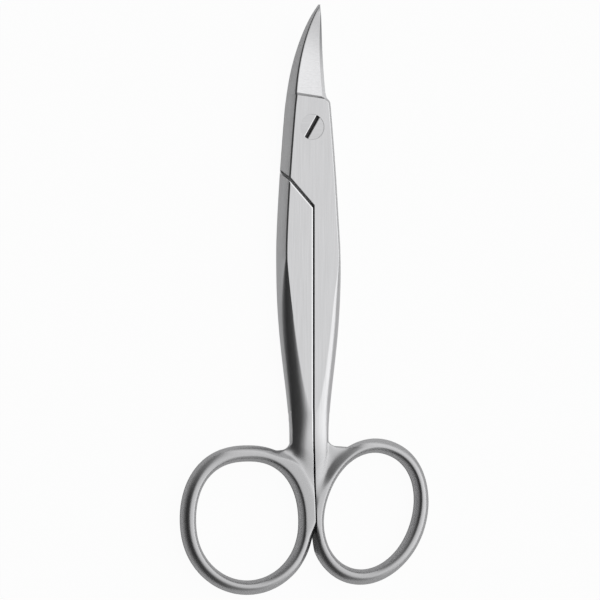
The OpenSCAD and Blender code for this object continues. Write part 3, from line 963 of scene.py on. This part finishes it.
def build_half(shape, steels, arris):
    """One half in its own frame, with its ring and broken edges and without its pivot hole"""
    s, side = shape.s, shape.side
    rows = [shape.section(y) for y in upper_stations(shape)]
    # The end face at the step takes the step steel, darkened as painted shade along the foot of
    # the blade's ground face
    body = skin("half", rows, steels["shank"], steels["step"])
    stations = [1 - t**STATION_POWER for t in steps(BLADE_ROWS)]
    start = s.step_rise - BLADE_OVERLAP
    rows = [shape.blade_section(t, mix(start, s.blade_len, t), 0) for t in stations]
    rows.append(shape.blade_section(0, start - ROOT_LEN, s.spine_proud))
    combine(body, skin("blade", rows, steels["blade"]), "UNION")
    cut_step(body, shape, steels["step"])
    combine(body, build_lower(shape, steels), "UNION")

    reach = s.neck_w / 2 + s.crotch_r + WEB_STEP + OVER
    left = shoulder_line(s.groove_w / 2)
    right = shoulder_line(-s.groove_w / 2)
    corner = shape.edge_x(0)
    other = [
        (corner, left(corner)),
        (corner, -shape.taper_start),
        (shape.edge_x(-CUT_DROP), -CUT_DROP),
        (-reach, -CUT_DROP),
        (-reach, left(-reach)),
    ]
    # The walls that this cuts take the seam steel, darkened as painted shade for the dim light
    # inside the narrow closing gap and shoulder groove
    combine(body, prism("other", other, -reach, reach, steels["shaded_seam"]), "DIFFERENCE")
    deep = right(0) - OVER
    lap = [
        (-reach, 0),
        (-reach, deep),
        (corner, deep),
        (corner, right(-corner)),
        (reach, right(-reach)),
        (reach, 0),
    ]
    combine(body, prism("lap", lap, -reach, s.lap_gap / 2, steels["lap"]), "DIFFERENCE")

    far = s.blade_len + OVER
    arc = [mix(far, FLAT_R, t) for t in steps(SWING_ROWS)]
    profile = [(0, -far), (far, -far)]
    profile += [(r, side * shape.bend(r) + s.lap_gap / 2) for r in arc]
    profile += [(0, s.lap_gap / 2)]
    behind = lathe("behind", profile, SWING_STEPS, steels["lap"], math.pi)
    combine(body, behind, "DIFFERENCE")
    break_edges(body, shape, arris, steels["edge"])
    return body


def drill(half, radius, top, steel):
    """Cuts the pivot's bore through a half"""
    bore = [(0, -OVER), (radius, -OVER), (radius, top), (0, top)]
    combine(half, lathe("bore", bore, BORE_STEPS, steel), "DIFFERENCE")


def set_shading(obj):
    """Smooth faces, with the drawn edges kept sharp"""
    mesh = obj.data
    mesh.polygons.foreach_set("use_smooth", [True] * len(mesh.polygons))
    mesh.set_sharp_from_angle(angle=SHARP_ANGLE)


def place_half(obj, name, shape):
    """Turns a half the right way up, and stands it on the plane of the flat backs"""
    turn = Matrix.Rotation(0 if shape.side > 0 else math.pi, 4, "Y")
    obj.data.transform(Matrix.Translation((0, 0, shape.half_t)) @ turn)
    obj.name = obj.data.name = name
    set_shading(obj)


# Finishes


# Streaks in the grain: their size against the grain, and what they do to the roughness and
# to the brightness of the steel
STREAK_SCALE = 0.35
STREAK_ROUGH = 0.06
STREAK_SHADE = 0.18
STEEL_SHADE = 0.99

# Blasted steel of the lower shanks and the rings: where it starts and is whole, how much
# rougher and darker it is, and the size and depth of its grain
BLAST_START = -54.0 * MM
BLAST_WHOLE = -60.0 * MM
BLAST_ROUGH = 0.05
BLAST_SHADE = 0.8
BLAST_FINENESS = 9000.0
BLAST_DEPTH = 0.0016


def grain_group():
    """Fine grain that is drawn out along one direction, with its roughness and colour"""
    group = bpy.data.node_groups.new("Brushed grain", "ShaderNodeTree")
    sockets = {
        "Stretch": "Vector",
        "Fineness": "Float",
        "Depth": "Float",
        "Roughness": "Float",
        "Steel": "Color",
    }
    results = {"Height": "Float", "Roughness": "Float", "Steel": "Color"}
    given, made = add_ends(group, sockets, results)
    where = add_node(group, "ShaderNodeTexCoord").outputs["Object"]
    stretched = {0: where, 1: given["Stretch"]}
    drawn = add_node(group, "ShaderNodeVectorMath", stretched, operation="MULTIPLY")

    def noise(scale, detail):
        values = {"Vector": drawn.outputs[0], "Scale": scale, "Detail": detail}
        return add_node(group, "ShaderNodeTexNoise", values).outputs["Fac"]

    fine = noise(given["Fineness"], 3.0)
    streak = noise(add_maths(group, "MULTIPLY", given["Fineness"], STREAK_SCALE), 2.0)
    centred = add_maths(group, "SUBTRACT", streak, 0.5)
    rough = add_maths(group, "MULTIPLY", centred, STREAK_ROUGH)
    shade = add_maths(group, "MULTIPLY", centred, STREAK_SHADE)
    shade = add_maths(group, "ADD", shade, STEEL_SHADE)
    grey = add_node(group, "ShaderNodeCombineColor", {0: shade, 1: shade, 2: shade})
    steel = add_mix(group, "RGBA", 1.0, given["Steel"], grey.outputs[0], "MULTIPLY")
    feed(group, made["Height"], add_maths(group, "MULTIPLY", fine, given["Depth"]))
    feed(group, made["Roughness"], add_maths(group, "ADD", given["Roughness"], rough))
    feed(group, made["Steel"], steel)
    return group


def steel_material(name, colour, roughness, stretch, fineness, depth, blasted=False):
    """Satin steel whose grain runs the way that it was brushed, and which can be blasted
    from the lower shanks down"""
    material = bpy.data.materials.new(name)
    material.use_nodes = True
    tree = material.node_tree
    group = bpy.data.node_groups.get("Brushed grain") or grain_group()

    def grain(stretch, fineness, depth, roughness, shade=1.0):
        values = {
            "Stretch": stretch,
            "Fineness": fineness,
            "Depth": depth,
            "Roughness": roughness,
            "Steel": tuple(shade * c for c in colour[:3]) + (1.0,),
        }
        return add_node(tree, "ShaderNodeGroup", values, node_tree=group).outputs

    made = grain(stretch, fineness, depth, roughness)
    if blasted:
        rough = roughness + BLAST_ROUGH
        blast = grain((1, 1, 1), BLAST_FINENESS, BLAST_DEPTH, rough, BLAST_SHADE)
        where = add_node(tree, "ShaderNodeTexCoord").outputs["Object"]
        along = add_node(tree, "ShaderNodeSeparateXYZ", {0: where}).outputs["Y"]
        span = {"Value": along, "From Min": BLAST_START, "From Max": BLAST_WHOLE}
        ramp = add_node(tree, "ShaderNodeMapRange", span, interpolation_type="SMOOTHSTEP")
        made = {
            key: add_mix(tree, kind, ramp.outputs["Result"], made[key], blast[key])
            for key, kind in (("Height", "FLOAT"), ("Roughness", "FLOAT"), ("Steel", "RGBA"))
        }
    relief = {"Strength": 1.0, "Distance": MM, "Height": made["Height"]}
    bump = add_node(tree, "ShaderNodeBump", relief).outputs["Normal"]
    bsdf = tree.nodes["Principled BSDF"].inputs
    feed(tree, bsdf["Metallic"], 1.0)
    feed(tree, bsdf["Normal"], bump)
    feed(tree, bsdf["Roughness"], made["Roughness"])
    feed(tree, bsdf["Base Color"], made["Steel"])
    return material


def half_steels(finish):
    """Steels of a half: its shank with the ring, ground blade and lapped faces, the walls of the
    seams, the step and the screw's slot darkened as painted shade, and the broken edges
    brightened as a painted highlight, each with its shade and roughness, and with the stretch,
    fineness and depth of its grain in mm"""
    colour, satin = list(finish.steel), finish.roughness
    made = {}
    for part, shade, rough, stretch, fineness, depth in (
        ("shank", 0.98, satin, (1, 0.03, 1), 12000, 0.0012),
        ("blade", 0.98, satin, (0.04, 1, 1), 12000, 0.0025),
        ("lap", 0.95, satin, (0.05, 1, 1), 9000, 0.001),
        # Painted shade: the walls of the closing gap and of the shoulder groove are darkened
        ("shaded_seam", 0.2, satin + 0.1, (1, 1, 0.05), 9000, 0.001),
        # Painted shade: the step and its groove are darkened
        ("step", 0.42, satin + 0.1, (0.05, 1, 1), 9000, 0.001),
        # Painted shade: the screw's slot is near black
        ("slot", 0.14, satin + 0.3, (1, 1, 1), 7000, 0.001),
        # Painted highlight: the broken edges are brightened beyond the steel's own colour
        ("edge", 1.25, satin, (1, 1, 1), 9000, 0.0004),
    ):
        name = "steel_" + part
        shaded = [min(1.0, shade * c) for c in colour[:3]] + [1.0]
        made[part] = bpy.data.materials.get(name) or steel_material(
            name, shaded, rough, stretch, fineness, depth, part == "shank"
        )
    return made


# Operators


class SCISSORS_OT_front_half(bpy.types.Operator):
    """Build the half with the finger ring, whose lap lies in front"""

    bl_idname = "scissors.front_half"
    bl_label = "Front half"

    def execute(self, context):
        s = context.scene.scissor_sizes
        steels = half_steels(context.scene.scissor_finish)
        shape = HalfShape(s, 1)
        half = build_half(shape, steels, s.front_arris)
        drill(half, FRONT_BORE_R, shape.half_t, steels["lap"])
        low = SCREW_HIGH.z - SEAT_DEPTH - shape.half_t
        rim = s.head_d / 2 + HEAD_GAP
        seat = [
            (0, low),
            (rim, low),
            (rim, shape.half_t - HEAD_GAP),
            (rim + 2 * HEAD_GAP, shape.half_t + HEAD_GAP),
            (0, shape.half_t + HEAD_GAP),
        ]
        combine(half, lathe("seat", seat, HEAD_STEPS, steels["lap"]), "DIFFERENCE")
        place_half(half, "front_half_steel", shape)
        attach(half, "front")
        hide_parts("front_half")
        return {"FINISHED"}


class SCISSORS_OT_back_half(bpy.types.Operator):
    """Build the half with the thumb ring, whose lap lies behind"""

    bl_idname = "scissors.back_half"
    bl_label = "Back half"

    def execute(self, context):
        s = context.scene.scissor_sizes
        steels = half_steels(context.scene.scissor_finish)
        shape = HalfShape(s, -1)
        half = build_half(shape, steels, s.back_arris)
        drill(half, BACK_BORE_R, BACK_BORE_TOP, steels["lap"])
        place_half(half, "back_half_steel", shape)
        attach(half, "back")
        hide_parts("back_half")
        return {"FINISHED"}


class SCISSORS_OT_pivot_screw(bpy.types.Operator):
    """Build the slotted screw that the halves turn on"""

    bl_idname = "scissors.pivot_screw"
    bl_label = "Pivot screw"

    def execute(self, context):
        s = context.scene.scissor_sizes
        finish = context.scene.scissor_finish
        steel = steel_material(
            "steel_screw", list(finish.screw), finish.roughness, (0.05, 1, 1), 9000, 0.001
        )
        top, low = SCREW_HIGH.z, SCREW_LOW.z
        head, seat = s.head_d / 2, top - HEAD_T
        profile = [
            (0, low),
            (SCREW_R, low),
            (SCREW_R, seat),
            (head, seat),
            (head, top - HEAD_GAP),
            (head - HEAD_GAP, top),
            (0, top),
        ]
        screw = lathe("pivot_screw_steel", profile, HEAD_STEPS, steel)
        turn = Matrix.Rotation(SLOT_ANGLE, 4, "Z")
        half_w = s.slot_w / 2
        steels = half_steels(finish)
        # The slot's rims are broken with the edge steel, brightened as a painted highlight
        wide = half_w + SLOT_ARRIS
        broken = [(-wide, 0), (-wide, OVER), (wide, OVER), (wide, 0), (0, -wide * ARRIS_SLOPE)]
        # The slot is cut with the slot steel, darkened as painted shade for its recess
        slot = [(-half_w, -s.slot_depth), (-half_w, OVER), (half_w, OVER), (half_w, -s.slot_depth)]
        for name, outline in (("edge", broken), ("slot", slot)):
            rows = [
                [tuple(turn @ Vector((x, y, z + top))) for y, z in outline]
                for x in (-s.head_d, s.head_d)
            ]
            combine(screw, skin(name, rows, steels[name]), "DIFFERENCE")
        set_shading(screw)
        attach(screw, "back")
        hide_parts("pivot_screw")
        return {"FINISHED"}


# Share of plain white that the floor shows to each kind of ray
FLOOR_WHITE = (("Is Camera Ray", 0.96), ("Is Glossy Ray", 0.12), ("Is Transmission Ray", 0.12))

# The floor lies a hair below the flat backs, so that no two surfaces coincide
FLOOR_Z = -0.03 * MM
FLOOR_REACH = 3000 * MM
FLOOR_ROUGHNESS = 0.9

# Brightness of the surround by angle about the scissors' length, from straight above and
# turning to the left: level with the pivot, towards the tips and towards the rings
SURROUND = (
    (
        (-180, 0.2), (-150, 0.75), (-130, 1.0), (-95, 1.3), (-70, 1.28), (-46, 1.12),
        (-30, 0.97), (-20, 0.93), (-6, 0.8), (6, 0.32), (20, 0.06), (60, 0.03), (78, 0.12),
        (93, 0.5), (115, 0.42), (150, 0.3), (180, 0.16),
    ),
    (
        (-180, 0.4), (-145, 0.72), (-115, 0.64), (-90, 0.52), (-64, 0.55), (-45, 0.85),
        (-34, 1.02), (-20, 0.98), (0, 0.6), (20, 0.3), (60, 0.2), (100, 0.4), (180, 0.4),
    ),
    (
        (-180, 0.3), (-144, 0.38), (-115, 0.4), (-90, 0.6), (-64, 0.5), (-46, 0.3), (-20, 0.24),
        (20, 0.08), (60, 0.05), (100, 0.3), (180, 0.3),
    ),
)

# Between these lengthwise parts of a direction it changes to the one at the tips or the rings
SURROUND_ENDS = ((0.2, 0.85), (-0.22, -0.85))


class SCISSORS_OT_stage(bpy.types.Operator):
    """Set the floor, the soft light and the camera"""

    bl_idname = "scissors.stage"
    bl_label = "Stage"

    view_angle = math.radians(20)
    distance = 4000 * MM
    target = (-1.62 * MM, -30.9 * MM, 1.95 * MM)
    frame_width = 107.14 * MM

    def execute(self, context):
        scene = context.scene
        finish = scene.scissor_finish
        scene.view_settings.view_transform = "Standard"
        self.add_floor(finish)
        self.add_world(scene)
        self.add_camera(scene)
        return {"FINISHED"}

    def add_floor(self, finish):
        mesh = bpy.data.meshes.new("floor")
        r = FLOOR_REACH
        corners = [(x, y, FLOOR_Z) for x, y in ((-r, -r), (r, -r), (r, r), (-r, r))]
        mesh.from_pydata(corners, [], [(0, 1, 2, 3)])
        floor = new_object("floor", mesh)
        material = bpy.data.materials.new("floor_paint")
        material.use_nodes = True
        tree = material.node_tree
        paint = tree.nodes["Principled BSDF"]
        paint.inputs["Base Color"].default_value = tuple(finish.floor)
        paint.inputs["Roughness"].default_value = FLOOR_ROUGHNESS
        path = add_node(tree, "ShaderNodeLightPath")
        white = add_node(tree, "ShaderNodeEmission", {"Strength": 1.0})
        level = 0.0
        for ray, share in FLOOR_WHITE:
            level = add_maths(tree, "MULTIPLY_ADD", path.outputs[ray], share, level)
        shown = {"Fac": level, 1: paint.outputs[0], 2: white.outputs[0]}
        blend = add_node(tree, "ShaderNodeMixShader", shown)
        feed(tree, tree.nodes["Material Output"].inputs["Surface"], blend.outputs[0])
        mesh.materials.append(material)

    def add_world(self, scene):
        """Soft surround, bright at the right and dim above, which the camera sees as white"""
        world = bpy.data.worlds.new("surround")
        scene.world = world
        world.use_nodes = True
        tree = world.node_tree
        where = add_node(tree, "ShaderNodeTexCoord").outputs["Generated"]
        parts = add_node(tree, "ShaderNodeSeparateXYZ", {0: where}).outputs
        left = add_maths(tree, "MULTIPLY", parts["X"], -1.0)
        turn = add_maths(tree, "ARCTAN2", left, parts["Z"])
        span = {"Value": turn, "From Min": -math.pi, "From Max": math.pi}
        angle = add_node(tree, "ShaderNodeMapRange", span).outputs["Result"]
        light, *ends = [self.add_ramp(tree, angle, stops) for stops in SURROUND]
        for ramp, (low, high) in zip(ends, SURROUND_ENDS):
            span = {"Value": parts["Y"], "From Min": low, "From Max": high}
            lean = add_node(tree, "ShaderNodeMapRange", span, interpolation_type="SMOOTHSTEP")
            light = add_mix(tree, "RGBA", lean.outputs["Result"], light, ramp)
        dim = tree.nodes["Background"]
        feed(tree, dim.inputs["Color"], light)
        white = add_node(tree, "ShaderNodeBackground", {"Color": (1, 1, 1, 1), "Strength": 1.0})
        seen = add_node(tree, "ShaderNodeLightPath").outputs["Is Camera Ray"]
        shown = {"Fac": seen, 1: dim.outputs[0], 2: white.outputs[0]}
        blend = add_node(tree, "ShaderNodeMixShader", shown)
        feed(tree, tree.nodes["World Output"].inputs["Surface"], blend.outputs[0])

    def add_ramp(self, tree, angle, stops):
        """Brightness of the surround by the angle about the scissors' length"""
        ramp = add_node(tree, "ShaderNodeValToRGB", {"Fac": angle})
        places = ramp.color_ramp.elements
        places.remove(places[1])
        for k, (degrees, value) in enumerate(stops):
            place = (degrees + 180) / 360
            stop = places.new(place) if k else places[0]
            stop.position = place
            stop.color = (value, value, value, 1.0)
        return ramp.outputs["Color"]

    def add_camera(self, scene):
        """Camera that looks at the front from a little to the left"""
        data = bpy.data.cameras.new("camera")
        data.lens = data.sensor_width * self.distance / self.frame_width
        data.clip_start, data.clip_end = self.distance / 40, self.distance * 5
        camera = bpy.data.objects.new("camera", data)
        scene.collection.objects.link(camera)
        back = Vector((-math.sin(self.view_angle), 0, math.cos(self.view_angle)))
        up = Vector((0, 1, 0))
        right = up.cross(back)
        turn = Matrix((right, up, back)).transposed().to_4x4()
        place = Vector(self.target) + back * self.distance
        camera.matrix_world = Matrix.Translation(place) @ turn
        scene.camera = camera


class SCISSORS_PT_panel(bpy.types.Panel):
    """Sizes, finishes and steps of the scissors"""

    bl_idname = "SCISSORS_PT_panel"
    bl_label = "Scissors"
    bl_space_type = "VIEW_3D"
    bl_region_type = "UI"
    bl_category = "Scissors"

    def draw(self, context):
        layout = self.layout
        for step in STEPS:
            layout.operator("scissors." + step)
        for group in (context.scene.scissor_sizes, context.scene.scissor_finish):
            box = layout.box()
            for name in group.__annotations__:
                box.prop(group, name)


STEPS = ("front_half", "back_half", "pivot_screw", "stage")

CLASSES = (
    ScissorSizes,
    ScissorFinish,
    SCISSORS_OT_front_half,
    SCISSORS_OT_back_half,
    SCISSORS_OT_pivot_screw,
    SCISSORS_OT_stage,
    SCISSORS_PT_panel,
)


def register():
    for cls in CLASSES:
        bpy.utils.register_class(cls)
    bpy.types.Scene.scissor_sizes = PointerProperty(type=ScissorSizes)
    bpy.types.Scene.scissor_finish = PointerProperty(type=ScissorFinish)


def unregister():
    del bpy.types.Scene.scissor_finish
    del bpy.types.Scene.scissor_sizes
    for cls in reversed(CLASSES):
        bpy.utils.unregister_class(cls)


def main():
    register()
    for step in STEPS:
        getattr(bpy.ops.scissors, step)()


if __name__ == "__main__":
    main()
